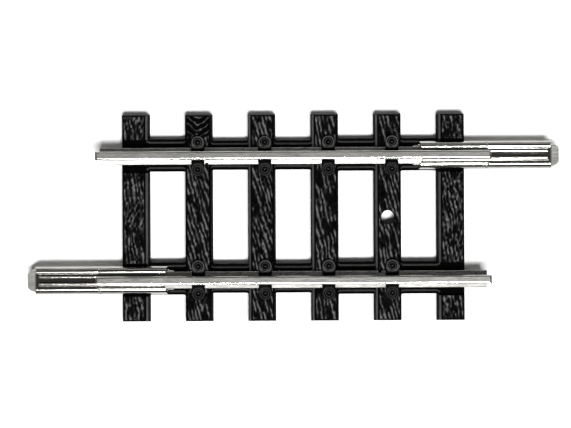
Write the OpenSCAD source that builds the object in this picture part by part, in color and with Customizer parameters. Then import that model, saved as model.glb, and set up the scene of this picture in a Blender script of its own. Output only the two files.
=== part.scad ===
// Straight narrow-gauge model track section: a moulded sleeper grid, two flat-bottom rails
// and two folded sheet-metal rail joiners at diagonally opposite ends.
// Origin: on the surface the sleepers stand on, midway between the rails and midway along them.
// X runs along the rails, Y across them, Z up. All sizes are millimetres.

/* [Rails] */
// Distance between the inner faces of the two rail heads
gauge = 9; // [8.8:0.1:9.4]
// Length of each rail
rail_length = 30.6; // [30:0.1:31.2]
// Height of a rail from the underside of its foot to its running surface
rail_height = 2; // [1.8:0.05:2.2]
// Width of the rail head
head_width = 0.66; // [0.6:0.02:0.74]
// Height of the rail head's straight side and rounded top
head_height = 0.5; // [0.4:0.05:0.6]
// Thickness of the web between foot and head
web_width = 0.24; // [0.2:0.02:0.26]
// Width of the rail foot
foot_width = 1.32; // [1.28:0.02:1.36]
// Thickness of the foot at its edge
foot_edge = 0.24; // [0.2:0.02:0.26]

/* [Sleepers] */
// Distance from one sleeper's centre to the next
sleeper_pitch = 4.95; // [4.8:0.01:5]
// Length of a sleeper at its base
sleeper_length = 16.3; // [15.8:0.1:17]
// Height of a sleeper's top face
sleeper_height = 2; // [1.8:0.05:2.4]
// Width of a sleeper at its base
sleeper_base = 2.2; // [2.1:0.02:2.4]
// Width of a sleeper's flat top face
sleeper_top = 1.74; // [1.6:0.02:1.8]
// Depth of the shallow groove in the sleeper tops in which the rail foot sits
seat_depth = 0.1; // [0.06:0.02:0.14]
// Width of the open pocket under the rail in an end sleeper, where a joiner passes
pocket_width = 2.6; // [2.5:0.02:2.8]

/* [Connecting strips] */
// Height of the upper face of the strips that tie the sleepers together under the rails
strip_top = 1.5; // [1.4:0.02:1.56]
// Height of the lower face of the strips
strip_bottom = 0.5; // [0:0.1:0.7]
// Half the width of a strip
strip_half = 1.26; // [1.1:0.02:1.3]
// The same for the narrower strips, in the second and third gaps from the -X end
narrow_strip_half = 1.14; // [1:0.02:1.26]
// How far every strip's middle lies off its rail's centreline, towards +Y
strip_shift = 0.1; // [0:0.02:0.14]

/* [Chairs] */
// Width of a chair along the rail
chair_width = 1.02; // [0.9:0.02:1.1]
// Distance from the rail's centreline to the middle of a chair's round boss
boss_reach = 1.06; // [1:0.02:1.12]
// Height of a chair above the underside of the rail foot
chair_height = 0.64; // [0.56:0.02:0.72]
// How far the chairs of the third and later sleepers stand off their sleeper's centreline
chair_shift = 0.27; // [0:0.01:0.3]

/* [Nail hole] */
// Diameter of the track-pin hole through the fifth sleeper
nail_diameter = 1.12; // [0.9:0.02:1.3]

/* [Joiners] */
// Thickness of the joiner's sheet metal
sheet = 0.2; // [0.16:0.01:0.2]
// Overall width over a joiner's folded sides
joiner_width = 2.26; // [2.2:0.02:2.32]
// Length of a joiner's folded sides
fold_length = 10.35; // [9.6:0.05:10.6]
// Length of folded side that grips the joiner's own rail
engaged = 5.48; // [5:0.02:5.8]
// Length of the flat tongue beyond the folded sides, at each end
tongue_length = 0.6; // [0.4:0.05:0.7]
// Width of the flat tongues
tongue_width = 1.52; // [1.4:0.02:1.6]
// Width of the slot between the joiner's lips at its free end
free_slot = 0.19; // [0.16:0.01:0.2]

/* [Hidden] */

$fn = 64;
arc_steps = 8;
sleeper_count = 6;
nail_sleeper = 4;                             // the sleeper with the track-pin hole, counted from 0
through = 1;                                  // how far a cutting shape runs past a face
rail_y = (gauge + head_width) / 2;            // rail centreline
foot_z = sleeper_height - seat_depth;         // underside of the rail foot

head_corner = 0.12;
head_underside = rail_height - head_height;
head_slope = 0.14;
foot_root = foot_edge + 0.12;                 // foot thickness where it meets the web fillet
web_fillet = 0.1;
foot_setback = 0.22;                          // the foot's flanges stop this short of a rail's ends
head_lead = [0.14, 0.1];                      // chamfer on the head's top edge at a rail's ends
lock_x = 6.73;                                // lengthwise lock between rail and grid
lock_width = 0.26;
lock_depth = 0.15;

chair_clear = 0.02;                           // running gap between rail foot and chairs
chair_gap = 0.03;                             // gap between a chair's lip and the rail head, in plan
shoulder_z = sleeper_height - 0.3;            // where a sleeper's drafted side meets its bevel
shoulder_width = sleeper_base - 0.2;
end_draft = 0.1;
end_bevel = 0.14;
strip_bevel = 0.16;
ring_radius = 0.3;
ring_width = 0.09;
ring_height = 0.05;
core_slot = 0.34;                             // mould-core slot under each chair's lip
block_overhang = 0.1;                         // how far a lock block reaches outside the foot's edge

joiner_clear = 0.02;                          // gap between joiner sheet and rail foot
web_clear = 0.01;                             // gap between joiner lips and rail web
fold_slant = 0.4;                             // how much shorter the lips are than the outer walls
tongue_corner = 0.2;
nick_width = 0.16;
nick_angle = 25;
nick_floor = 0.36;                            // all three above the underside of the rail foot
nick_depth = 0.5;

grid_colour = [0.1, 0.1, 0.1];
rail_colour = [0.78, 0.77, 0.73];
joiner_colour = [0.7, 0.69, 0.65];

// ---- outlines ------------------------------------------------------------------------------

function unit(v) = v / norm(v);

// Points on a circle of radius r about c, from angle from to angle to
function arc(c, r, from, to) =
    [for (i = [0 : arc_steps]) let (a = from + (to - from) * i / arc_steps) c + r * [cos(a), sin(a)]];

// The corner at p between a and b, rounded to radius r as short chords
function rounded(a, p, b, r) =
    let (
        u = unit(a - p),
        v = unit(b - p),
        half = acos(u * v) / 2,
        centre = p + unit(u + v) * r / sin(half),
        start = p + u * r / tan(half) - centre,
        end = p + v * r / tan(half) - centre,
        a0 = atan2(start[1], start[0]),
        turn = atan2(start[0] * end[1] - start[1] * end[0], start * end)
    )
    arc(centre, r, a0, a0 + turn);

function reversed(list) = [for (i = [len(list) - 1 : -1 : 0]) list[i]];
function flipped(half) = [for (p = half) [-p[0], p[1]]];

// A half outline closed by its own mirror image
function mirrored(half) = concat(half, reversed(flipped(half)));

// Direction of a path at point i, then the path shifted sideways by d
function heading(path, i) = unit(path[min(i + 1, len(path) - 1)] - path[max(i - 1, 0)]);
function shifted(path, d) =
    [for (i = [0 : len(path) - 1]) let (h = heading(path, i)) path[i] + d * [-h[1], h[0]]];

// One side of the rail's cross-section, foot first
rail_half = concat(
    [[foot_width / 2, 0], [foot_width / 2, foot_edge]],
    arc([web_width / 2 + web_fillet, foot_root + web_fillet], web_fillet, 270, 180),
    [[web_width / 2, head_underside - head_slope], [head_width / 2, head_underside]],
    arc([head_width / 2 - head_corner, rail_height - head_corner], head_corner, 0, 90)
);

// One side of the space kept clear for the rail in the sleeper grid
seat_half = [
    [foot_width / 2 + chair_clear, 0],
    [foot_width / 2 + chair_clear, foot_edge + chair_clear],
    [web_width / 2 + chair_clear, foot_root + chair_clear],
    [web_width / 2 + chair_clear, rail_height]
];

// Middle line of one side of the joiner's folded sheet: base, outer wall, crest, valley and lip
base_z = -joiner_clear - sheet / 2;
base_mid = [0, base_z];
base_corner = [joiner_width / 2 - 0.055, base_z];
crest_corner = [0.86, 0.62];
valley_corner = [0.42, 0.42];
lip_end = [(free_slot + sheet) / 2, 0.78];
base_bend = 0.2;
crest_bend = 0.26;
valley_bend = 0.13;
joiner_path = concat(
    [base_mid],
    rounded(base_mid, base_corner, crest_corner, base_bend),
    rounded(base_corner, crest_corner, valley_corner, crest_bend),
    rounded(crest_corner, valley_corner, lip_end, valley_bend),
    [lip_end]
);
function joiner_outline() =
    let (
        outside = shifted(joiner_path, -sheet / 2),
        inside = shifted(joiner_path, sheet / 2)
    )
    concat(reversed(flipped(outside)), outside, reversed(inside), flipped(inside));

// ---- placing -------------------------------------------------------------------------------

// Runs an outline drawn in Y and Z along X
module along_x(from, to) {
    translate([from, 0, 0])
        rotate([90, 0, 90])
            linear_extrude(height = to - from)
                children();
}

// Runs an outline drawn in X and Z along Y, centred
module along_y(length) {
    translate([0, length / 2, 0])
        rotate([90, 0, 0])
            linear_extrude(height = length)
                children();
}

// Puts a shape at the far rail, and its half-turned copy at the near rail
module at_far_rail() {
    translate([0, rail_y, foot_z])
        children();
}
module at_near_rail() {
    rotate([0, 0, 180])
        at_far_rail()
            children();
}

// ---- sleeper grid --------------------------------------------------------------------------

function sleeper_x(i) = (i - (sleeper_count - 1) / 2) * sleeper_pitch;
function chair_x(i) = sleeper_x(i) + (i == 1 ? 0 : chair_shift);
function strip_reach(gap) = gap == 1 || gap == 2 ? narrow_strip_half : strip_half;

// One sleeper: drafted sides and ends with a bevel round the top face
module sleeper() {
    intersection() {
        along_y(sleeper_length)
            polygon([
                [-sleeper_base / 2, 0], [sleeper_base / 2, 0],
                [shoulder_width / 2, shoulder_z], [sleeper_top / 2, sleeper_height],
                [-sleeper_top / 2, sleeper_height], [-shoulder_width / 2, shoulder_z]
            ]);
        along_x(-sleeper_base, sleeper_base)
            polygon(mirrored([
                [sleeper_length / 2, 0],
                [sleeper_length / 2 - end_draft, shoulder_z],
                [sleeper_length / 2 - end_draft - end_bevel, sleeper_height]
            ]));
    }
}

// A strip's cross-section in Y and Z, with its upper edges bevelled
module strip_outline(half) {
    polygon([
        [-half, strip_bottom], [half, strip_bottom],
        [half, strip_top - strip_bevel], [half - strip_bevel, strip_top],
        [strip_bevel - half, strip_top], [-half, strip_top - strip_bevel]
    ]);
}

// The strips under both rails, one length to each gap between sleepers
module strips() {
    for (gap = [0 : sleeper_count - 2])
        for (rail = [-rail_y, rail_y])
            translate([0, rail + strip_shift, 0])
                along_x(sleeper_x(gap), sleeper_x(gap + 1))
                    strip_outline(strip_reach(gap));
}

// One chair on the +Y side of a rail: a lip over the foot, a round boss and its bolt ring
module chair() {
    lip_start = head_width / 2 + chair_gap;
    translate([-chair_width / 2, lip_start, -seat_depth])
        cube([chair_width, boss_reach - lip_start, chair_height + seat_depth]);
    translate([0, boss_reach, -seat_depth])
        cylinder(d = chair_width, h = chair_height + seat_depth);
    translate([0, boss_reach, chair_height])
        difference() {
            cylinder(r = ring_radius, h = ring_height);
            translate([0, 0, -through])
                cylinder(r = ring_radius - ring_width, h = ring_height + 2 * through);
        }
}

// Small block in the grid that fills the notch in the rail's foot
module lock_block() {
    translate([-lock_x - lock_width / 2 + chair_clear, -foot_width / 2 - block_overhang, -seat_depth])
        cube([
            lock_width - 2 * chair_clear,
            lock_depth + block_overhang - chair_clear,
            seat_depth + foot_edge
        ]);
}

// Slot left by the mould core that shapes the underside of a chair's lip
module core_cut() {
    translate([-chair_width / 2, foot_width / 2 - core_slot, -sleeper_height - through])
        cube([chair_width, core_slot, sleeper_height + through]);
}

// Runs its children once at each side of each rail on every sleeper that has chairs
module at_chairs() {
    for (i = [1 : sleeper_count - 2])
        for (rail = [-rail_y, rail_y])
            for (side = [0, 1])
                translate([chair_x(i), rail, foot_z])
                    mirror([0, side, 0])
                        children();
}

// The open pockets in the end sleepers
module pockets() {
    for (i = [0, sleeper_count - 1])
        for (rail = [-rail_y, rail_y])
            translate([sleeper_x(i) - sleeper_base, rail - pocket_width / 2, strip_top])
                cube([2 * sleeper_base, pocket_width, sleeper_height]);
}

module sleeper_grid() {
    color(grid_colour)
    union() {
        difference() {
            union() {
                for (i = [0 : sleeper_count - 1])
                    translate([sleeper_x(i), 0, 0])
                        sleeper();
                strips();
                at_chairs()
                    chair();
            }
            for (rail = [-rail_y, rail_y])
                translate([0, rail, foot_z])
                    along_x(-rail_length / 2, rail_length / 2)
                        polygon(mirrored(seat_half));
            pockets();
            at_chairs()
                core_cut();
            translate([sleeper_x(nail_sleeper), 0, -through])
                cylinder(d = nail_diameter, h = sleeper_height + 2 * through);
        }
        at_far_rail()
            lock_block();
        at_near_rail()
            lock_block();
    }
}

// ---- rails ---------------------------------------------------------------------------------

// What is trimmed from the +X end of a rail: the foot's flanges and the head's top edge
module end_trim() {
    for (side = [0, 1])
        mirror([0, side, 0])
            translate([rail_length / 2 - foot_setback, web_width / 2, -through])
                cube([foot_setback + through, foot_width, foot_root + web_fillet + through]);
    translate([rail_length / 2, 0, rail_height])
        along_y(2 * head_width)
            polygon([[-head_lead[0], 0], [0, -head_lead[1]], [through, through]]);
}

module rail() {
    color(rail_colour)
    difference() {
        along_x(-rail_length / 2, rail_length / 2)
            polygon(mirrored(rail_half));
        end_trim();
        mirror([1, 0, 0])
            end_trim();
        translate([-lock_x - lock_width / 2, -foot_width / 2 - through, -through])
            cube([lock_width, lock_depth + through, foot_edge + 2 * through]);
    }
}

module rail_far() {
    at_far_rail()
        rail();
}

module rail_near() {
    at_near_rail()
        rail();
}

// ---- joiners -------------------------------------------------------------------------------

fold_start = rail_length / 2 - engaged;
fold_end = fold_start + fold_length;

// The folded sheet, whose lips are shorter than its outer walls
module folds() {
    half = joiner_width / 2;
    intersection() {
        along_x(fold_start, fold_end)
            polygon(joiner_outline());
        translate([0, 0, -through])
            linear_extrude(height = rail_height + through)
                polygon([
                    [fold_start, half], [fold_start + fold_slant, 0], [fold_start, -half],
                    [fold_end, -half], [fold_end - fold_slant, 0], [fold_end, half]
                ]);
    }
}

// The flat base, which runs past the folds as a tongue at each end
module tongues() {
    end = fold_end + tongue_length;
    start = fold_start - tongue_length;
    half = tongue_width / 2;
    translate([0, 0, base_z - sheet / 2])
        linear_extrude(height = sheet)
            polygon([
                [start, half - tongue_corner], [start + tongue_corner, half],
                [end - tongue_corner, half], [end, half - tongue_corner],
                [end, tongue_corner - half], [end - tongue_corner, -half],
                [start + tongue_corner, -half], [start, tongue_corner - half]
            ]);
}

// The slot between the lips: clear of the rail's own web, then narrowing towards the free end
module lip_slot() {
    grip = web_width / 2 + web_clear;
    free = free_slot / 2;
    linear_extrude(height = rail_height)
        polygon([
            [fold_start, grip], [rail_length / 2, grip], [fold_end, free],
            [fold_end, -free], [rail_length / 2, -grip], [fold_start, -grip]
        ]);
}

// A nick across each fold, halfway along the joiner
module nicks() {
    for (side = [0, 1])
        mirror([0, side, 0])
            translate([(fold_start + fold_end) / 2, joiner_width / 2, nick_floor + rail_height / 2])
                rotate([0, 0, nick_angle])
                    cube([nick_width, 2 * nick_depth, rail_height], center = true);
}

// The joiner at the +X end of its rail
module joiner() {
    color(joiner_colour)
    difference() {
        union() {
            folds();
            tongues();
        }
        lip_slot();
        nicks();
    }
}

module joiner_far() {
    at_far_rail()
        joiner();
}

module joiner_near() {
    at_near_rail()
        joiner();
}

// ---- assembly ------------------------------------------------------------------------------

sleeper_grid();
rail_far();
rail_near();
joiner_far();
joiner_near();
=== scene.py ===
"""A short model track section: moulded sleepers with wood grain, two rails and two folded joiners.

Lengths below are in millimetres and are turned into metres where meshes are made.
"""

import math

import bmesh
import bpy
import numpy as np
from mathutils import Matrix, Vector


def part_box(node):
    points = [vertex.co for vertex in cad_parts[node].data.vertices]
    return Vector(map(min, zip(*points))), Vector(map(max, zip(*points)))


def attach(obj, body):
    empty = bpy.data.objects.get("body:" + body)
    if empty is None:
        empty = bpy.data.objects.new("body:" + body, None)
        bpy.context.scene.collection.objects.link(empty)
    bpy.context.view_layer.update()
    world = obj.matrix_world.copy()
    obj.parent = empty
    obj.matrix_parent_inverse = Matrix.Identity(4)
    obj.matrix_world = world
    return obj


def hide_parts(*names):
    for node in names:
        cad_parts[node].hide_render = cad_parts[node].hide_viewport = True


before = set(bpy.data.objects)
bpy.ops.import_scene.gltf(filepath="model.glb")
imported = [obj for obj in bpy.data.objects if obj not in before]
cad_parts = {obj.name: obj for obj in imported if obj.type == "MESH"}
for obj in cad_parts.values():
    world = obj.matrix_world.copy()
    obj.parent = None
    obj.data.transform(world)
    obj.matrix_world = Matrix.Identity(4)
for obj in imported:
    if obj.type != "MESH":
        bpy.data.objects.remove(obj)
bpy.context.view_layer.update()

MM = 0.001

# ---- where the CAD model puts things -----------------------------------------------------------


def box_mm(node):
    """A CAD node's lowest and highest corners, in millimetres."""
    low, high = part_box(node)
    return np.array(low) / MM, np.array(high) / MM


grid_low, grid_high = box_mm("sleeper_grid")
far_low, far_high = box_mm("rail_far")
joiner_low, joiner_high = box_mm("joiner_far")

RAIL_Y = (far_low[1] + far_high[1]) / 2
RAIL_END = far_high[0]
FOOT_Z = far_low[2]
RAIL_HEIGHT = far_high[2] - far_low[2]
FOOT_HALF = (far_high[1] - far_low[1]) / 2
JOINER_HALF = (joiner_high[1] - joiner_low[1]) / 2
SLEEPER_LENGTH = grid_high[1] - grid_low[1]

# ---- sizes that the boxes don't give, as in the CAD model --------------------------------------

SLEEPERS = 6
PITCH = 4.95
BASE_HALF = 1.1
SHOULDER_HALF = 1.0
TOP_HALF = 0.87
SHOULDER_Z = 1.7
TOP_Z = 2.0
END_DRAFT = 0.1
END_BEVEL = 0.14
STRIP_TOP = 1.5
STRIP_BOTTOM = 0.5
STRIP_HALF = 1.26
NARROW_STRIP_HALF = 1.14
STRIP_SHIFT = 0.1
NARROW_GAPS = (1, 2)
STRIP_BEVEL = 0.16
STRIP_FILLET = 0.2
POCKET_HALF = 1.3
SEAT_DEPTH = 0.1
CHAIR_SHIFT = 0.27
CHAIR_HALF = 0.51
BOSS_REACH = 1.06
CHAIR_HEIGHT = 0.64
CHAIR_START = 0.36
CHAIR_CLEAR = 0.02
CORE_SLOT = 0.34
NAIL_RADIUS = 0.56
NAIL_SLEEPER = 4
LOCK_X = 6.73
LOCK_WIDTH = 0.26
LOCK_DEPTH = 0.15
LOCK_OVERHANG = 0.1

HEAD_HALF = 0.33
HEAD_HEIGHT = 0.5
HEAD_CORNER = 0.12
HEAD_SLOPE = 0.14
WEB_HALF = 0.12
WEB_FILLET = 0.1
FOOT_EDGE = 0.24
FOOT_ROOT = 0.36
FOOT_SETBACK = 0.22
HEAD_LEAD_X = 0.14
HEAD_LEAD_Z = 0.1

SHEET = 0.2
JOINER_CLEAR = 0.02
WEB_CLEAR = 0.01
FREE_SLOT_HALF = 0.095
TONGUE = 0.6
TONGUE_HALF = 0.76
TONGUE_CORNER = 0.2
FOLD_SLANT = 0.4
NICK_ANGLE = math.radians(25)
NICK_WIDTH = 0.16
NICK_FLOOR = 0.36
BASE_CORNER = (JOINER_HALF - 0.055, -JOINER_CLEAR - SHEET / 2)
CREST_CORNER = (0.86, 0.62)
VALLEY_CORNER = (0.42, 0.42)
LIP_TOP = 0.78
BASE_BEND = 0.2
CREST_BEND = 0.26
VALLEY_BEND = 0.13

# ---- sizes that only the looks have ------------------------------------------------------------

EDGE_ROUND = 0.03
RIM_INSET = 0.27
LIP_ROUND = 0.07
BOSS_RADIUS = 0.51
RIM_HEIGHT = 0.035
# distance from a joiner's centreline beyond which its outer wall gets painted shade
FLANK = 0.76
PAINTED_VALLEY_SHADE_HALF = 0.08
PAINTED_FLANK_SHADE = 0.3
PAINTED_VALLEY_SHADE = 0.85
SCRATCH_DEPTH = 0.001

# ---- mesh helpers ------------------------------------------------------------------------------


def supported(outline, inset=0.012):
    """The outline with extra points by its corners, so that smooth shading keeps flats flat."""
    result = []
    count = len(outline)
    for k in range(count):
        a, b = np.array(outline[k], float), np.array(outline[(k + 1) % count], float)
        length = np.linalg.norm(b - a)
        result.append(tuple(a))
        if length > 4 * inset:
            step = (b - a) / length * inset
            result += [tuple(a + step), tuple(b - step)]
    return result


def make_object(name, points, faces):
    """A mesh object from points in millimetres."""
    mesh = bpy.data.meshes.new(name)
    corners = [tuple(p) for p in np.asarray(points, float) * MM]
    mesh.from_pydata(corners, [], [tuple(f) for f in faces])
    mesh.validate()
    mesh.update()
    obj = bpy.data.objects.new(name, mesh)
    bpy.context.scene.collection.objects.link(obj)
    return obj


def loft(name, rings):
    """A closed solid through rings of points that all have the same count, capped at both ends."""
    rings = np.asarray(rings, float)
    stations, count, _ = rings.shape
    faces = []
    for s in range(stations - 1):
        a, b = s * count, (s + 1) * count
        for k in range(count):
            n = (k + 1) % count
            faces.append((a + k, a + n, b + n, b + k))
    faces.append(tuple(range(count - 1, -1, -1)))
    faces.append(tuple((stations - 1) * count + k for k in range(count)))
    return make_object(name, rings.reshape(-1, 3), faces)


def prism(name, outline, low, high):
    """An outline in X and Y raised from low to high."""
    rings = [[(x, y, z) for x, y in outline] for z in (low, high)]
    return loft(name, rings)


def block(name, x, y, z):
    """A plain box used only to cut other shapes; each argument is a (low, high) pair."""
    outline = [(x[0], y[0]), (x[1], y[0]), (x[1], y[1]), (x[0], y[1])]
    return prism(name, outline, z[0], z[1])


def circle(x, y, radius, steps=48):
    """Points round a circle in X and Y."""
    angles = np.linspace(0, 2 * math.pi, steps, endpoint=False)
    return [(x + radius * math.cos(a), y + radius * math.sin(a)) for a in angles]


def apply_modifiers(obj):
    """Bakes an object's modifiers into its mesh."""
    graph = bpy.context.evaluated_depsgraph_get()
    mesh = bpy.data.meshes.new_from_object(obj.evaluated_get(graph))
    obj.modifiers.clear()
    old = obj.data
    obj.data = mesh
    bpy.data.meshes.remove(old)


def combine(base, others, operation):
    """Joins other closed solids to base, or cuts them out of it, and removes them."""
    for other in others:
        modifier = base.modifiers.new("combine", "BOOLEAN")
        modifier.operation = operation
        modifier.solver = "MANIFOLD"
        modifier.object = other
    apply_modifiers(base)
    for other in others:
        bpy.data.objects.remove(other)
    return base


def outward(obj):
    """Makes a closed mesh's faces look outwards."""
    work = bmesh.new()
    work.from_mesh(obj.data)
    bmesh.ops.remove_doubles(work, verts=work.verts, dist=1e-9)
    bmesh.ops.recalc_face_normals(work, faces=work.faces)
    work.to_mesh(obj.data)
    work.free()
    return obj


def shade(obj, angle=35):
    """Smooth shading that keeps edges sharper than the angle."""
    obj.data.polygons.foreach_set("use_smooth", [True] * len(obj.data.polygons))
    obj.data.set_sharp_from_angle(angle=math.radians(angle))
    return obj


def half_turn(obj, name):
    """A copy of obj, turned half a turn about Z."""
    twin = bpy.data.objects.new(name, obj.data.copy())
    bpy.context.scene.collection.objects.link(twin)
    points = np.zeros(len(twin.data.vertices) * 3)
    twin.data.vertices.foreach_get("co", points)
    points = points.reshape(-1, 3) * (-1, -1, 1)
    twin.data.vertices.foreach_set("co", points.ravel())
    twin.data.update()
    return twin


def rounded_corner(a, p, b, radius, steps=8):
    """The corner at p between a and b as an arc."""
    a, p, b = (np.asarray(v, float) for v in (a, p, b))
    u = (a - p) / np.linalg.norm(a - p)
    v = (b - p) / np.linalg.norm(b - p)
    half = math.acos(float(u @ v)) / 2
    middle = (u + v) / np.linalg.norm(u + v)
    centre = p + middle * radius / math.sin(half)
    start = p + u * radius / math.tan(half) - centre
    end = p + v * radius / math.tan(half) - centre
    turn = math.atan2(start[0] * end[1] - start[1] * end[0], float(start @ end))
    first = math.atan2(start[1], start[0])
    angles = [first + turn * i / steps for i in range(steps + 1)]
    return [centre + radius * np.array([math.cos(t), math.sin(t)]) for t in angles]


# ---- seeded noise ------------------------------------------------------------------------------


def value_noise(x, y, seed):
    """Smooth noise from 0 to 1 on a unit lattice, for arrays of x and y."""
    table = np.random.default_rng(seed).random((256, 256))
    xi, yi = np.floor(x).astype(int), np.floor(y).astype(int)
    fx, fy = x - xi, y - yi
    fx, fy = fx * fx * (3 - 2 * fx), fy * fy * (3 - 2 * fy)
    x0, x1, y0, y1 = xi % 256, (xi + 1) % 256, yi % 256, (yi + 1) % 256
    low = table[x0, y0] * (1 - fx) + table[x1, y0] * fx
    high = table[x0, y1] * (1 - fx) + table[x1, y1] * fx
    return low * (1 - fy) + high * fy


# ---- sleepers ----------------------------------------------------------------------------------

GRAIN_DEPTH = 0.1
GRAIN_STEP = 0.055
GRAIN_COLUMNS = 57
GRAIN_SLANT = (0.14, 0.3, 0.3, 0.2, 0.27, 0.18)
LINE_PITCH = 0.32
# the side of each sleeper whose bevel carries a painted highlight: -1 for -X, 1 for +X, 0 for neither
HIGHLIT_BEVEL_SIDE = (1, 0, -1, -1, -1, -1)
GROOVE_BY_HIGHLIT_BEVEL = 0.13
# where the grain bends round a knot, as (across, along, size) from each sleeper's middle
KNOTS = (
    ((0.25, 2.3, 0.4), (-0.2, -1.2, 0.5), (0.2, 6.9, 0.35), (-0.1, -6.4, 0.4)),
    ((0.1, 2.6, 0.3), (0.25, 0.9, 0.3), (-0.2, -6.7, 0.35)),
    ((-0.1, 3.1, 0.3), (-0.3, -2.4, 0.35)),
    ((-0.3, 1.9, 0.3), (0.2, -2.6, 0.35), (0.2, -6.6, 0.4)),
    ((0.3, 2.9, 0.3), (-0.2, -2.6, 0.35)),
    ((0.05, 2.2, 0.45), (0.15, -0.3, 0.4), (-0.2, 6.8, 0.35), (0.2, -6.5, 0.45)),
)
ROUGH_SLEEPERS = (0, SLEEPERS - 1)


def sleeper_x(i):
    """The middle of sleeper i along the track."""
    return (i - (SLEEPERS - 1) / 2) * PITCH


def grain_lines(flow, along, seed):
    """Raised lines along the grain, each breaking up into dashes at places of its own."""
    number = np.floor(flow / LINE_PITCH)
    across = flow / LINE_PITCH - number
    ridge = np.exp(-((across - 0.5) / 0.27) ** 2)
    dashes = value_noise(number * 7, along * 1.15 + number * 3.7, seed)
    nicks = value_noise(number * 5 + 0.5, along * 2.8 + number * 1.9, seed + 50)
    return ridge * np.clip((dashes - 0.14) / 0.25, 0, 1) * np.clip(0.45 + 1.2 * nicks, 0, 1)


def chevrons(x, y, seed):
    """A few wide V-shaped lines with a small eye below them, for the far end of one sleeper."""
    bent = x + 0.2 * (value_noise(x * 1.7, y * 1.7, seed) - 0.5)
    climb = y - 0.8 * np.sqrt(bent * bent + 0.02) + 0.12 * value_noise(x * 4, y * 4, seed + 1)
    lines = np.clip(1.6 * np.cos(2 * math.pi * climb / 0.5) - 0.4, 0, 1)
    lines *= 0.35 + 0.65 * value_noise(x * 5, y * 3, seed + 2)
    eye = np.exp(-((x + 0.1) ** 2 + (y + 0.72) ** 2) / 0.012)
    return np.maximum(lines, eye)


def grain(i, x, y):
    """Height of the wood grain on sleeper i, from 0 in its cracks to 1 on its ridges."""
    seed = 100 + 10 * i
    flow = x + GRAIN_SLANT[i] * y
    for across, along, size in KNOTS[i]:
        dx, dy = x - across, y - along
        flow = flow + 0.6 * dx * np.exp(-(dx / size) ** 2 - (dy / (1.7 * size)) ** 2)
    flow = flow + 0.2 * (value_noise(x * 1.1, y * 0.6, seed) - 0.5)
    flow = flow + 0.11 * (value_noise(x * 5, y * 2.2, seed + 8) - 0.5)
    lines = grain_lines(flow, y, seed + 1)
    cross = grain_lines(x - 0.45 * y + 0.3 * value_noise(x * 2, y * 1.5, seed + 4), y, seed + 5)
    speck = value_noise(x * 8, y * 5, seed + 3)
    patch = np.clip(value_noise(x * 0.8, y * 0.45, seed + 6) * 2.2 - 0.7, 0, 1)
    if i in ROUGH_SLEEPERS:
        ridges = np.maximum(lines * (1 - 0.5 * patch), 0.9 * cross * patch)
        ridges = ridges * (0.4 + 0.6 * speck) + 0.6 * speck ** 2
    else:
        ridges = lines * (0.6 + 0.4 * speck) + 0.45 * speck ** 2
    if i == 1:
        blend = np.clip((y - 6.2) / 0.3, 0, 1)
        ridges = ridges * (1 - blend) + chevrons(x, y - 7.25, seed + 7) * blend
    return np.clip(ridges, 0, 1)


def side_half(z):
    """Half a sleeper's width at height z."""
    if z <= SHOULDER_Z:
        return BASE_HALF + (SHOULDER_HALF - BASE_HALF) * z / SHOULDER_Z
    return SHOULDER_HALF + (TOP_HALF - SHOULDER_HALF) * (z - SHOULDER_Z) / (TOP_Z - SHOULDER_Z)


def sleeper_stations(i):
    """Places along sleeper i with the height of its top there, from the near end to the far one."""
    half = SLEEPER_LENGTH / 2 - END_DRAFT
    edge = half - END_BEVEL
    inner = np.linspace(-edge, edge, int(2 * edge / GRAIN_STEP))
    stations = [(y, TOP_Z) for y in inner]
    bevel = [(half - END_BEVEL * (1 - t), TOP_Z - (TOP_Z - SHOULDER_Z) * t)
             for t in (0.25, 0.5, 0.75, 1)]
    stations = [(-y, z) for y, z in reversed(bevel)] + stations + bevel
    if i in (0, SLEEPERS - 1):
        for rail in (-RAIL_Y, RAIL_Y):
            low, high = rail - POCKET_HALF, rail + POCKET_HALF
            before = [s for s in stations if s[0] < low - 0.01]
            after = [s for s in stations if s[0] > high + 0.01]
            floor = [(y, STRIP_TOP) for y in np.linspace(low, high, 20)]
            stations = before + [(low, TOP_Z)] + floor + [(high, TOP_Z)] + after
    return stations


def groove_by_highlit_bevel(i, x):
    """0 in the smooth groove beside a bevel with a painted highlight and 1 elsewhere; x is from the
    sleeper's middle.
    """
    inset = TOP_HALF - HIGHLIT_BEVEL_SIDE[i] * x if HIGHLIT_BEVEL_SIDE[i] else np.full_like(x, 1.0)
    return np.clip((inset - GROOVE_BY_HIGHLIT_BEVEL) / 0.03, 0, 1)


def end_face(z):
    """How far from the middle a sleeper's end wall stands at height z."""
    return SLEEPER_LENGTH / 2 - END_DRAFT * z / SHOULDER_Z


def sleeper(i):
    """One drafted sleeper with grain in its top face."""
    across = np.linspace(-1, 1, GRAIN_COLUMNS)
    heights = np.array([0, 0.6, 1.2, 1.6, SHOULDER_Z - 0.01, SHOULDER_Z + 0.01, 1.85, TOP_Z - 0.03])
    rings = []
    for y, top in sleeper_stations(i):
        wall = [(side_half(z), z) for z in heights * top / TOP_Z]
        xs = across * (side_half(top) - 0.005)
        drop = GRAIN_DEPTH * (1 - grain(i, xs, np.full_like(xs, y)) * groove_by_highlit_bevel(i, xs))
        drop *= np.clip((1 - np.abs(across)) / 0.03, 0, 1)
        if top < TOP_Z - 1e-6:
            drop *= 0.3
        ring = [(-x, z) for x, z in wall]
        ring += list(zip(xs, top - drop))
        ring += [(x, z) for x, z in reversed(wall)]
        last = abs(y) > SLEEPER_LENGTH / 2 - END_DRAFT - 1e-6
        rings.append([(sleeper_x(i) + x, math.copysign(end_face(z), y) if last else y, z)
                      for x, z in ring])
    return outward(loft(f"sleeper_{i}", rings))


# ---- strips, chairs and locks ------------------------------------------------------------------


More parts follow.
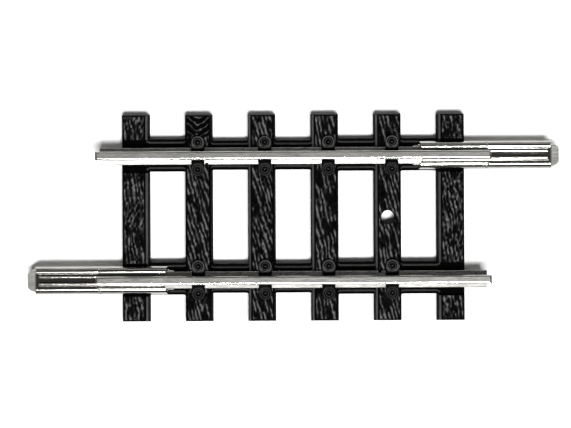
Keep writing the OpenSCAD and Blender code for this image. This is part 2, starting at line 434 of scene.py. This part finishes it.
def strip(i, side):
    """The strip from sleeper i to the next one, under the rail on that side."""
    start = sleeper_x(i) + SHOULDER_HALF - 0.1
    end = sleeper_x(i + 1) - SHOULDER_HALF + 0.1
    half = NARROW_STRIP_HALF if i in NARROW_GAPS else STRIP_HALF
    rings = []
    for x in np.linspace(start, end, 33):
        reach = min(x - start, end - x) - 0.12
        flare = 0.0
        if reach < STRIP_FILLET:
            flare = STRIP_FILLET - math.sqrt(STRIP_FILLET ** 2 - (STRIP_FILLET - max(reach, 0)) ** 2)
        w = half + 0.5 * flare
        right = [(w, STRIP_BOTTOM), (w, STRIP_TOP - STRIP_BEVEL)]
        right += [(w - STRIP_BEVEL * (1 - math.cos(a)), STRIP_TOP - STRIP_BEVEL * (1 - math.sin(a)))
                  for a in np.radians((22, 45, 68, 90))]
        right += [(w - RIM_INSET - u, STRIP_TOP + v) for u, v in
                  ((-0.09, 0), (-0.06, 0.02), (0, RIM_HEIGHT), (0.06, 0.02), (0.09, 0))]
        outline = right + [(-y, z) for y, z in reversed(right)]
        rings.append([(x, side * RAIL_Y + STRIP_SHIFT + y, z) for y, z in outline])
    return outward(loft(f"strip_{i}_{side}", rings))


def lathe(name, x, y, profile, steps=40):
    """A solid of revolution about a vertical line; profile runs from the axis's foot to its top."""
    rings = [[(x + r * math.cos(a), y + r * math.sin(a), z)
              for a in np.linspace(0, 2 * math.pi, steps, endpoint=False)] for r, z in profile]
    return outward(loft(name, rings))


def chair_x(i):
    """The middle of the chairs on sleeper i along the track."""
    return sleeper_x(i) + (0 if i == 1 else CHAIR_SHIFT)


def chair(i, side, face):
    """One chair on sleeper i: the lip over the foot and the round boss with its bolt ring."""
    x = chair_x(i)
    middle = side * RAIL_Y
    foot = FOOT_Z - SEAT_DEPTH
    top = FOOT_Z + CHAIR_HEIGHT
    rings = []
    for z, inset in ((foot, 0), (top - 0.06, 0), (top - 0.02, 0.02), (top, 0.06)):
        near, far, half = CHAIR_START + inset, BOSS_REACH, CHAIR_HALF - inset
        rings.append([(x + u, middle + face * v, z)
                      for u, v in ((-half, near), (half, near), (half, far), (-half, far))])
    lip = outward(loft("lip", rings))
    boss = lathe("boss", x, middle + face * BOSS_REACH, [
        (BOSS_RADIUS, foot), (BOSS_RADIUS, top - 0.1), (0.5, top - 0.05), (0.48, top - 0.015),
        (0.45, top), (0.41, top), (0.385, top - 0.015), (0.36, top - 0.05),
        (0.34, top - 0.05), (0.315, top - 0.01), (0.29, top + 0.03), (0.26, top + 0.045),
        (0.23, top + 0.03), (0.2, top - 0.01), (0.17, top - 0.05), (0.11, top - 0.05),
        (0.07, top - 0.02), (0.03, top),
    ])
    return combine(boss, [lip], "UNION")


def lock(side):
    """The block that fills the notch in one rail's foot."""
    x, y = -side * LOCK_X, side * (RAIL_Y - FOOT_HALF)
    half = LOCK_WIDTH / 2 - CHAIR_CLEAR
    ys = sorted((y - side * LOCK_OVERHANG, y + side * (LOCK_DEPTH - CHAIR_CLEAR)))
    return outward(block("lock", (x - half, x + half), ys, (FOOT_Z - SEAT_DEPTH, FOOT_Z + FOOT_EDGE)))


def rail_seat(side):
    """The room kept for a rail: its foot with clearance, and its web above."""
    wide, slim = FOOT_HALF + CHAIR_CLEAR, WEB_HALF + CHAIR_CLEAR
    half = [(wide, 0), (wide, FOOT_EDGE + CHAIR_CLEAR), (slim, FOOT_ROOT + CHAIR_CLEAR),
            (slim, RAIL_HEIGHT)]
    outline = half + [(-y, z) for y, z in reversed(half)]
    rings = [[(x, side * RAIL_Y + y, FOOT_Z + z) for y, z in outline]
             for x in (-RAIL_END, RAIL_END)]
    return outward(loft("seat", rings))


def sleeper_grid():
    """The whole moulding as one closed mesh."""
    cuts = [rail_seat(side) for side in (-1, 1)]
    chairs = []
    for i in range(1, SLEEPERS - 1):
        x = chair_x(i)
        for side in (-1, 1):
            for face in (-1, 1):
                chairs.append(chair(i, side, face))
                ys = sorted(side * RAIL_Y + face * v for v in (FOOT_HALF - CORE_SLOT, FOOT_HALF))
                cuts.append(outward(block("core", (x - CHAIR_HALF, x + CHAIR_HALF), ys, (-1, FOOT_Z))))
    cuts.append(outward(prism("nail", circle(sleeper_x(NAIL_SLEEPER), 0, NAIL_RADIUS), -1, TOP_Z + 1)))
    grid = sleeper(0)
    grid.name = "sleeper_grid_moulding"
    others = [sleeper(i) for i in range(1, SLEEPERS)]
    others += [strip(i, side) for i in range(SLEEPERS - 1) for side in (-1, 1)]
    combine(grid, others + chairs, "UNION")
    combine(grid, cuts, "DIFFERENCE")
    combine(grid, [lock(1), lock(-1)], "UNION")
    return grid


# how light the moulding is painted at its raised places, from 0 to 1: the chairs a little, and painted
# highlights on bevels, boss rims, rings, middles and strip rims
PAINTED_BEVEL_HIGHLIGHT = 0.9
LIGHT_CHAIR = 0.25
PAINTED_BOSS_RIM_HIGHLIGHT_FAR = 0.72
PAINTED_BOSS_RIM_HIGHLIGHT_NEAR = 0.5
PAINTED_RING_HIGHLIGHT = 0.6
PAINTED_MIDDLE_HIGHLIGHT = 0.7
PAINTED_RIM_HIGHLIGHT = 0.6


def paint_grain_and_highlights(obj):
    """Stores how light each point of the moulding is painted, from 0 to 1, for its material.

    On the sleepers' tops that is the height in the grain. Walls are dark, apart from the bevels
    with a painted highlight, and chairs and the rims along the strips lie in between; the boss
    rims, rings and middles and the strip rims carry painted highlights.
    """
    points = np.zeros(len(obj.data.vertices) * 3)
    obj.data.vertices.foreach_get("co", points)
    x, y, z = (points.reshape(-1, 3) / MM).T
    index = np.clip(np.round(x / PITCH + (SLEEPERS - 1) / 2), 0, SLEEPERS - 1).astype(int)
    dx = x - (index - (SLEEPERS - 1) / 2) * PITCH
    light = np.clip((z - (TOP_Z - GRAIN_DEPTH)) / GRAIN_DEPTH, 0, 1)
    bevel = (z > SHOULDER_Z) & (z < TOP_Z + 0.005) & (np.abs(dx) > TOP_HALF - 0.012)
    # the bevels are dark, except on the listed side of each sleeper, which gets a painted highlight
    highlit_bevel = bevel & (np.sign(dx) == np.array(HIGHLIT_BEVEL_SIDE)[index])
    light[bevel] = 0
    light[highlit_bevel] = PAINTED_BEVEL_HIGHLIGHT
    light[z > TOP_Z + 0.005] = LIGHT_CHAIR
    top = FOOT_Z + CHAIR_HEIGHT
    light[z > top - 0.06] = 0
    # painted highlights on the boss rims, lighter on the far rims than on the near ones, and on each
    # bolt ring and middle
    for i in range(1, SLEEPERS - 1):
        for side in (-1, 1):
            for face in (-1, 1):
                away = np.hypot(x - chair_x(i), y - side * RAIL_Y - face * BOSS_REACH)
                border = (z > top - 0.03) & (away > 0.37) & (away < BOSS_RADIUS + 0.01)
                light[border] = PAINTED_BOSS_RIM_HIGHLIGHT_FAR if face > 0 else PAINTED_BOSS_RIM_HIGHLIGHT_NEAR
                light[(z > top + 0.01) & (away < 0.34)] = PAINTED_RING_HIGHLIGHT
                light[(z > top - 0.03) & (away < 0.05)] = PAINTED_MIDDLE_HIGHLIGHT
    # painted highlight along the raised rims on the strips
    light[(z > STRIP_TOP + 0.01) & (z < STRIP_TOP + 0.05)] = PAINTED_RIM_HIGHLIGHT
    layer = obj.data.attributes.new("grain", "FLOAT", "POINT")
    layer.data.foreach_set("value", light.astype(np.float32))


# ---- rails -------------------------------------------------------------------------------------


def rail_outline():
    """The rail's cross-section in Y and Z, from the underside of its foot."""
    under = RAIL_HEIGHT - HEAD_HEIGHT
    half = [
        (FOOT_HALF - EDGE_ROUND, 0), (FOOT_HALF, EDGE_ROUND),
        (FOOT_HALF, FOOT_EDGE - EDGE_ROUND), (FOOT_HALF - EDGE_ROUND, FOOT_EDGE),
    ]
    for t in np.linspace(270, 180, 8):
        a = math.radians(t)
        half.append((WEB_HALF + WEB_FILLET * (1 + math.cos(a)),
                     FOOT_ROOT + WEB_FILLET * (1 + math.sin(a))))
    half += [(WEB_HALF, under - HEAD_SLOPE), (HEAD_HALF - EDGE_ROUND, under - 0.02),
             (HEAD_HALF, under + 0.02)]
    for t in np.linspace(0, 90, 10):
        a = math.radians(t)
        half.append((HEAD_HALF - HEAD_CORNER * (1 - math.cos(a)),
                     RAIL_HEIGHT - HEAD_CORNER * (1 - math.sin(a))))
    return supported(half + [(-y, z) for y, z in reversed(half)])


def rail(name):
    """The far rail."""
    outline = rail_outline()
    xs = np.linspace(-RAIL_END, RAIL_END, 41)
    body = outward(loft(name, [[(x, RAIL_Y + y, FOOT_Z + z) for y, z in outline] for x in xs]))
    cuts = []
    for end in (-1, 1):
        tip = end * RAIL_END
        for face in (-1, 1):
            ys = sorted(RAIL_Y + face * v for v in (WEB_HALF, FOOT_HALF + 1))
            span = sorted((tip - end * FOOT_SETBACK, tip + end))
            cuts.append(outward(block("trim", span, ys, (FOOT_Z - 1, FOOT_Z + FOOT_ROOT + WEB_FILLET))))
        top = FOOT_Z + RAIL_HEIGHT
        wedge = [(tip - end * HEAD_LEAD_X, top), (tip, top - HEAD_LEAD_Z), (tip + end, top + 1)]
        rings = [[(x, y, z) for x, z in wedge] for y in (RAIL_Y - 1, RAIL_Y + 1)]
        cuts.append(outward(loft("lead", rings)))
    notch = (RAIL_Y - FOOT_HALF - 1, RAIL_Y - FOOT_HALF + LOCK_DEPTH)
    cuts.append(outward(block("notch", (-LOCK_X - LOCK_WIDTH / 2, -LOCK_X + LOCK_WIDTH / 2), notch,
                              (FOOT_Z - 1, FOOT_Z + FOOT_EDGE + 0.1))))
    return combine(body, cuts, "DIFFERENCE")


# ---- joiners -----------------------------------------------------------------------------------

FOLD_START = joiner_low[0] + TONGUE
FOLD_END = joiner_high[0] - TONGUE
# how many points of the fold path lie on the flat base within the tongue's width
FLAT_POINTS = 6


def slot_half(x):
    """Half the width of the slot between the lips at x."""
    grip = WEB_HALF + WEB_CLEAR
    if x <= RAIL_END:
        return grip
    return grip + (FREE_SLOT_HALF - grip) * min((x - RAIL_END) / (FOLD_END - RAIL_END), 1)


def fold_path(x):
    """The middle line of one side of the folded sheet at x, from the middle of the base to the lip."""
    middle, level = (0, BASE_CORNER[1]), BASE_CORNER[1]
    lip = (slot_half(x) + SHEET / 2, LIP_TOP)
    flat = [(y, level) for y in (0, 0.2, 0.4, TONGUE_HALF - TONGUE_CORNER, TONGUE_HALF - 0.1,
                                 TONGUE_HALF - 0.004, TONGUE_HALF + 0.004)]
    path = [np.array(p) for p in flat]
    path += rounded_corner(middle, BASE_CORNER, CREST_CORNER, BASE_BEND)
    path += rounded_corner(BASE_CORNER, CREST_CORNER, VALLEY_CORNER, CREST_BEND)
    path += rounded_corner(CREST_CORNER, VALLEY_CORNER, lip, VALLEY_BEND)
    last = path[-1]
    tip = np.array(lip) - LIP_ROUND * (np.array(lip) - last) / np.linalg.norm(np.array(lip) - last)
    path += [last + (tip - last) * t for t in (0.06, 0.5, 0.85, 1)]
    return np.array(path)


def fold_limits():
    """Where the sheet starts and ends along X at each point of the fold path."""
    path = fold_path(RAIL_END)
    starts, ends = [], []
    for k, (y, z) in enumerate(path):
        if k < FLAT_POINTS:
            corner = max(0, y - (TONGUE_HALF - TONGUE_CORNER))
            back = -(TONGUE - corner)
        elif k <= FLAT_POINTS + 9:
            back = 0
        else:
            back = FOLD_SLANT * (1 - y / JOINER_HALF)
        if k == len(path) - 1:
            back += 0.1
        if k == len(path) - 2:
            back += 0.03
        starts.append(FOLD_START + back)
        ends.append(FOLD_END - back)
    return np.array(starts), np.array(ends)


def path_normals(path):
    """Unit normals along a path, to its left."""
    ahead = np.vstack([path[1:], path[-1:]])
    behind = np.vstack([path[:1], path[:-1]])
    along = ahead - behind
    along /= np.linalg.norm(along, axis=1)[:, None]
    return np.stack([-along[:, 1], along[:, 0]], 1)


def joiner(name):
    """The joiner on the far rail's +X end, as a sheet folded about its base."""
    starts, ends = fold_limits()
    count = len(starts)
    steps = np.unique(np.concatenate([np.linspace(0, 1, 70), [0.002, 0.998]]))
    rings = []
    for v in steps:
        xs = starts + (ends - starts) * v
        outside, inside, cap = np.zeros((count, 3)), np.zeros((count, 3)), []
        for k in range(count):
            path = fold_path(xs[k])
            normal = path_normals(path)[k]
            for row, sign in ((outside, -1), (inside, 1)):
                y, z = path[k] + sign * SHEET / 2 * normal
                row[k] = (xs[k], y, z)
        across, along = normal, np.array([normal[1], -normal[0]])
        for a in np.radians((30, 60, 90, 120, 150)):
            y, z = path[-1] - SHEET / 2 * math.cos(a) * across + LIP_ROUND * math.sin(a) * along
            cap.append((xs[-1], y, z))
        cap = np.array(cap)
        flip = np.array([1, -1, 1])
        right = [outside, cap, inside[::-1]]
        left = [inside[1:] * flip, cap[::-1] * flip]
        ring = np.vstack([outside[:0:-1] * flip, *right, *left])
        rings.append(ring + (0, RAIL_Y, FOOT_Z))
    body = outward(loft(name, rings))
    middle = (FOLD_START + FOLD_END) / 2
    nicks = []
    for face in (-1, 1):
        outline = []
        for u, v in ((-1, -1), (1, -1), (1, 1), (-1, 1)):
            dx, dy = u * NICK_WIDTH / 2, v * 0.5
            turn = face * NICK_ANGLE
            outline.append((middle + dx * math.cos(turn) - dy * math.sin(turn),
                            RAIL_Y + face * JOINER_HALF + dx * math.sin(turn) + dy * math.cos(turn)))
        nicks.append(outward(prism("nick", outline, FOOT_Z + NICK_FLOOR, FOOT_Z + RAIL_HEIGHT)))
    return combine(body, nicks, "DIFFERENCE")


# ---- materials ---------------------------------------------------------------------------------


class Nodes:
    """Short ways to add and link shader nodes in one material."""

    def __init__(self, name):
        self.material = bpy.data.materials.new(name)
        self.material.use_nodes = True
        self.tree = self.material.node_tree
        self.shader = self.tree.nodes["Principled BSDF"]
        coordinates = self.tree.nodes.new("ShaderNodeTexCoord")
        self.object = coordinates.outputs["Object"]

    def link(self, output, node, socket):
        self.tree.links.new(output, node.inputs[socket])

    def noise(self, per_mm, detail=4.0, roughness=0.55):
        """Noise with so many features to the millimetre along each axis."""
        mapping = self.tree.nodes.new("ShaderNodeMapping")
        mapping.inputs["Scale"].default_value = [f / MM for f in per_mm]
        self.link(self.object, mapping, "Vector")
        node = self.tree.nodes.new("ShaderNodeTexNoise")
        node.inputs["Scale"].default_value = 1.0
        node.inputs["Detail"].default_value = detail
        node.inputs["Roughness"].default_value = roughness
        self.link(mapping.outputs["Vector"], node, "Vector")
        return node.outputs["Fac"]

    def ramp(self, value, stops):
        """Colours along a value; stops are (place, colour) pairs."""
        node = self.tree.nodes.new("ShaderNodeValToRGB")
        elements = node.color_ramp.elements
        while len(elements) < len(stops):
            elements.new(0.5)
        for element, (place, colour) in zip(elements, stops):
            element.position = place
            if np.isscalar(colour):
                colour = (colour, colour, colour)
            element.color = (*colour, 1)
        self.link(value, node, "Fac")
        return node.outputs["Color"]

    def mix(self, a, b, amount, blend="MIX"):
        """Two colours mixed by a value or a number."""
        node = self.tree.nodes.new("ShaderNodeMix")
        node.data_type = "RGBA"
        node.blend_type = blend
        for value, socket in ((amount, 0), (a, 6), (b, 7)):
            if isinstance(value, bpy.types.NodeSocket):
                self.tree.links.new(value, node.inputs[socket])
            elif socket == 0:
                node.inputs[socket].default_value = value
            else:
                node.inputs[socket].default_value = (*value, 1)
        return node.outputs[2]

    def bump(self, height, depth_mm, below=None):
        """Bump of a real depth, on top of another bump if one is given."""
        node = self.tree.nodes.new("ShaderNodeBump")
        node.inputs["Strength"].default_value = 1.0
        node.inputs["Distance"].default_value = depth_mm * MM
        self.link(height, node, "Height")
        if below is not None:
            self.link(below, node, "Normal")
        return node.outputs["Normal"]

    def attribute(self, name):
        node = self.tree.nodes.new("ShaderNodeAttribute")
        node.attribute_name = name
        return node.outputs["Fac"]

    def finish(self, colour, roughness, normal):
        self.link(colour, self.shader, "Base Color")
        self.link(roughness, self.shader, "Roughness")
        self.link(normal, self.shader, "Normal")
        return self.material


def paint_running_surface(obj):
    """Stores where a rail's head is worn by wheels, for its material."""
    points = np.zeros(len(obj.data.vertices) * 3)
    obj.data.vertices.foreach_get("co", points)
    height = points.reshape(-1, 3)[:, 2] / MM
    worn = (height > FOOT_Z + RAIL_HEIGHT - 0.6 * HEAD_CORNER).astype(np.float32)
    obj.data.attributes.new("worn", "FLOAT", "POINT").data.foreach_set("value", worn)


def sleeper_plastic():
    """Near-black moulded plastic, matt in its cracks, lighter and smoother on its grain ridges, with
    painted highlights on some bevels, boss rims, rings and strip rims.
    """
    n = Nodes("sleeper_plastic")
    height = n.attribute("grain")
    grain_colour = n.ramp(height, [(0.0, 0.0008), (0.3, 0.003), (0.6, 0.03), (1.0, 0.115)])
    mottle = n.ramp(n.noise((2.2, 1.1, 2.2)), [(0.3, (0.75, 0.74, 0.72)), (0.7, (1.2, 1.2, 1.21))])
    colour = n.mix(grain_colour, mottle, 1.0, "MULTIPLY")
    shine = n.ramp(height, [(0.0, 0.9), (0.4, 0.7), (1.0, 0.45)])
    patches = n.ramp(n.noise((5, 2, 5)), [(0.3, 0.85), (0.7, 1.1)])
    roughness = n.mix(shine, patches, 1.0, "MULTIPLY")
    coarse = n.bump(n.noise((16, 7, 16), 3), 0.006)
    normal = n.bump(n.noise((55, 40, 55), 2), 0.0015, coarse)
    n.shader.inputs["Specular IOR Level"].default_value = 0.02
    return n.finish(colour, roughness, normal)


def paint_joiner_shade(obj, side):
    """Stores the painted shade on a joiner, for its material: dark inside, less so in its folds and
    flanks.

    side is 1 for the far joiner and -1 for the near one.
    """
    points = np.zeros(len(obj.data.vertices) * 3)
    obj.data.vertices.foreach_get("co", points)
    x, y, z = (points.reshape(-1, 3) / MM).T
    x, away = side * x, np.abs(side * y - RAIL_Y)
    folded = (x > FOLD_START + 0.02) & (x < FOLD_END - 0.02)
    flank = (away > FLANK) & (z > BASE_CORNER[1] + FOOT_Z - 0.03)
    valley = (np.abs(away - VALLEY_CORNER[0]) < PAINTED_VALLEY_SHADE_HALF) & (z > FOOT_Z + VALLEY_CORNER[1])
    # painted shade on the outer walls and in the valleys, and full painted shade on the base's inside,
    # under the rail's foot
    tarnish_and_painted_shade = PAINTED_FLANK_SHADE * (folded & flank) + PAINTED_VALLEY_SHADE * (folded & valley)
    tarnish_and_painted_shade[folded & (np.abs(z - (FOOT_Z - JOINER_CLEAR)) < 0.01)] = 1
    layer = obj.data.attributes.new("tarnish_and_painted_shade", "FLOAT", "POINT")
    layer.data.foreach_set("value", tarnish_and_painted_shade.astype(np.float32))


def drawn_metal(name, bright, tarnish_and_painted_shade, rough, worn_rough=None):
    """Nickel silver drawn or rolled along X: fine lines, a few scratches and a faint tarnish.

    With worn_rough it is a rail, smoother where wheels run; without, a joiner, with painted shade
    inside and in its folds and flanks.
    """
    n = Nodes(name)
    tarnish = n.ramp(n.noise((0.35, 1.5, 1.5), 5), [(0.35, tarnish_and_painted_shade), (0.62, bright)])
    lines = n.ramp(n.noise((1.6, 20, 20), 3), [(0.36, (0.62, 0.62, 0.61)), (0.6, 1.0)])
    colour = n.mix(tarnish, lines, 0.8, "MULTIPLY")
    roughness = n.ramp(n.noise((0.8, 18, 18), 4), [(0.3, rough[0]), (0.7, rough[1])])
    if worn_rough:
        worn = n.ramp(n.noise((1.2, 14, 14), 4), [(0.3, worn_rough[0]), (0.7, worn_rough[1])])
        roughness = n.mix(roughness, worn, n.attribute("worn"))
    else:
        # painted shade: the joiner's colour darkened towards near-black where the attribute says
        colour = n.mix(colour, (0.05, 0.048, 0.045), n.attribute("tarnish_and_painted_shade"))
    drawn = n.bump(n.noise((0.4, 22, 22), 3), SCRATCH_DEPTH)
    normal = n.bump(n.noise((7, 9, 9), 3), 0.4 * SCRATCH_DEPTH, drawn)
    n.shader.inputs["Metallic"].default_value = 1.0
    return n.finish(colour, roughness, normal)


def floor_material():
    """A pale, very faintly mottled table top."""
    n = Nodes("table_top")
    pale, paler = (0.93, 0.93, 0.92), (0.96, 0.96, 0.955)
    colour = n.ramp(n.noise((0.05, 0.05, 0.05), 3), [(0.3, pale), (0.7, paler)])
    roughness = n.ramp(n.noise((0.2, 0.2, 0.2), 2), [(0.3, 0.6), (0.7, 0.7)])
    return n.finish(colour, roughness, n.bump(n.noise((2, 2, 2), 2), 0.002))


# ---- stage, camera and light -------------------------------------------------------------------


def floor():
    """A wide flat sheet under the track, with a slight roll at its rim."""
    size, steps = 1500, 60
    line = np.linspace(-1, 1, steps)
    points = []
    for v in line:
        for u in line:
            rim = max(abs(u), abs(v))
            points.append((u * size, v * size, -0.004 - 4 * max(0, rim - 0.8) ** 2))
    faces = [(r * steps + c, r * steps + c + 1, (r + 1) * steps + c + 1, (r + 1) * steps + c)
             for r in range(steps - 1) for c in range(steps - 1)]
    table = make_object("table_top", points, faces)
    table.data.materials.append(floor_material())


def area_light(name, place, size, power):
    """A soft oblong light at a place in millimetres, aimed at the track."""
    lamp = bpy.data.lights.new(name, "AREA")
    lamp.shape = "RECTANGLE"
    lamp.size, lamp.size_y = size[0] * MM, size[1] * MM
    lamp.energy = power
    obj = bpy.data.objects.new(name, lamp)
    bpy.context.scene.collection.objects.link(obj)
    spot = Vector(place) * MM
    obj.location = spot
    obj.rotation_euler = (Vector((0, 0, 0.002)) - spot).to_track_quat("-Z", "Y").to_euler()


def studio():
    """A dim room, darkest straight overhead and lighter towards the table's edges."""
    world = bpy.data.worlds.new("studio")
    bpy.context.scene.world = world
    world.use_nodes = True
    tree = world.node_tree
    coordinates = tree.nodes.new("ShaderNodeTexCoord")
    split = tree.nodes.new("ShaderNodeSeparateXYZ")
    tree.links.new(coordinates.outputs["Generated"], split.inputs["Vector"])
    height = tree.nodes.new("ShaderNodeMapRange")
    height.inputs["From Min"].default_value = 0.2
    height.inputs["From Max"].default_value = 0.95
    height.inputs["To Min"].default_value = 0.16
    height.inputs["To Max"].default_value = 0.015
    tree.links.new(split.outputs["Z"], height.inputs["Value"])
    background = tree.nodes["Background"]
    tree.links.new(height.outputs["Result"], background.inputs["Color"])
    background.inputs["Strength"].default_value = 1.0


def camera():
    """Straight above the track, slightly turned."""
    distance, frame_width = 160.0, 44.06
    aside, ahead, turn = -0.61, 0.29, -0.28
    lens = bpy.data.cameras.new("camera")
    lens.sensor_width = 36
    lens.lens = lens.sensor_width * distance / frame_width
    lens.clip_start = 0.001
    obj = bpy.data.objects.new("camera", lens)
    bpy.context.scene.collection.objects.link(obj)
    obj.location = (aside * MM, ahead * MM, (FOOT_Z + RAIL_HEIGHT + distance) * MM)
    obj.rotation_euler = (0, 0, math.radians(turn))
    bpy.context.scene.camera = obj


# ---- assembly ----------------------------------------------------------------------------------


def place(obj, material, body, node, slot):
    """Finishes one piece and puts it in its CAD node's place."""
    obj.data.materials.clear()
    obj.data.materials.append(material)
    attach(obj, body)
    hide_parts(node)


rail_metal = drawn_metal("rail_metal", (0.7, 0.69, 0.66), (0.56, 0.55, 0.52), (0.24, 0.31),
                         worn_rough=(0.08, 0.125))
joiner_metal = drawn_metal("joiner_metal", (0.68, 0.67, 0.64), (0.52, 0.51, 0.48), (0.1, 0.17))

moulding = shade(sleeper_grid(), 40)
paint_grain_and_highlights(moulding)
place(moulding, sleeper_plastic(), "track", "sleeper_grid", "sleeper_plastic")

far_rail = shade(rail("rail_far_drawn"))
paint_running_surface(far_rail)
near_rail = half_turn(far_rail, "rail_near_drawn")
place(far_rail, rail_metal, "track", "rail_far", "rail_metal")
place(near_rail, rail_metal, "track", "rail_near", "rail_metal")

far_joiner = shade(joiner("joiner_far_folded"))
near_joiner = half_turn(far_joiner, "joiner_near_folded")
paint_joiner_shade(far_joiner, 1)
paint_joiner_shade(near_joiner, -1)
place(far_joiner, joiner_metal, "joiner_far_body", "joiner_far", "joiner_metal")
place(near_joiner, joiner_metal, "joiner_near_body", "joiner_near", "joiner_metal")

floor()
area_light("key", (60, -230, 890), (300, 120), 12.2)
area_light("ceiling", (0, 0, 910), (340, 270), 0.13)
area_light("fill", (0, 740, 540), (1080, 216), 0.55)
studio()
camera()
bpy.context.scene.view_settings.view_transform = "Standard"
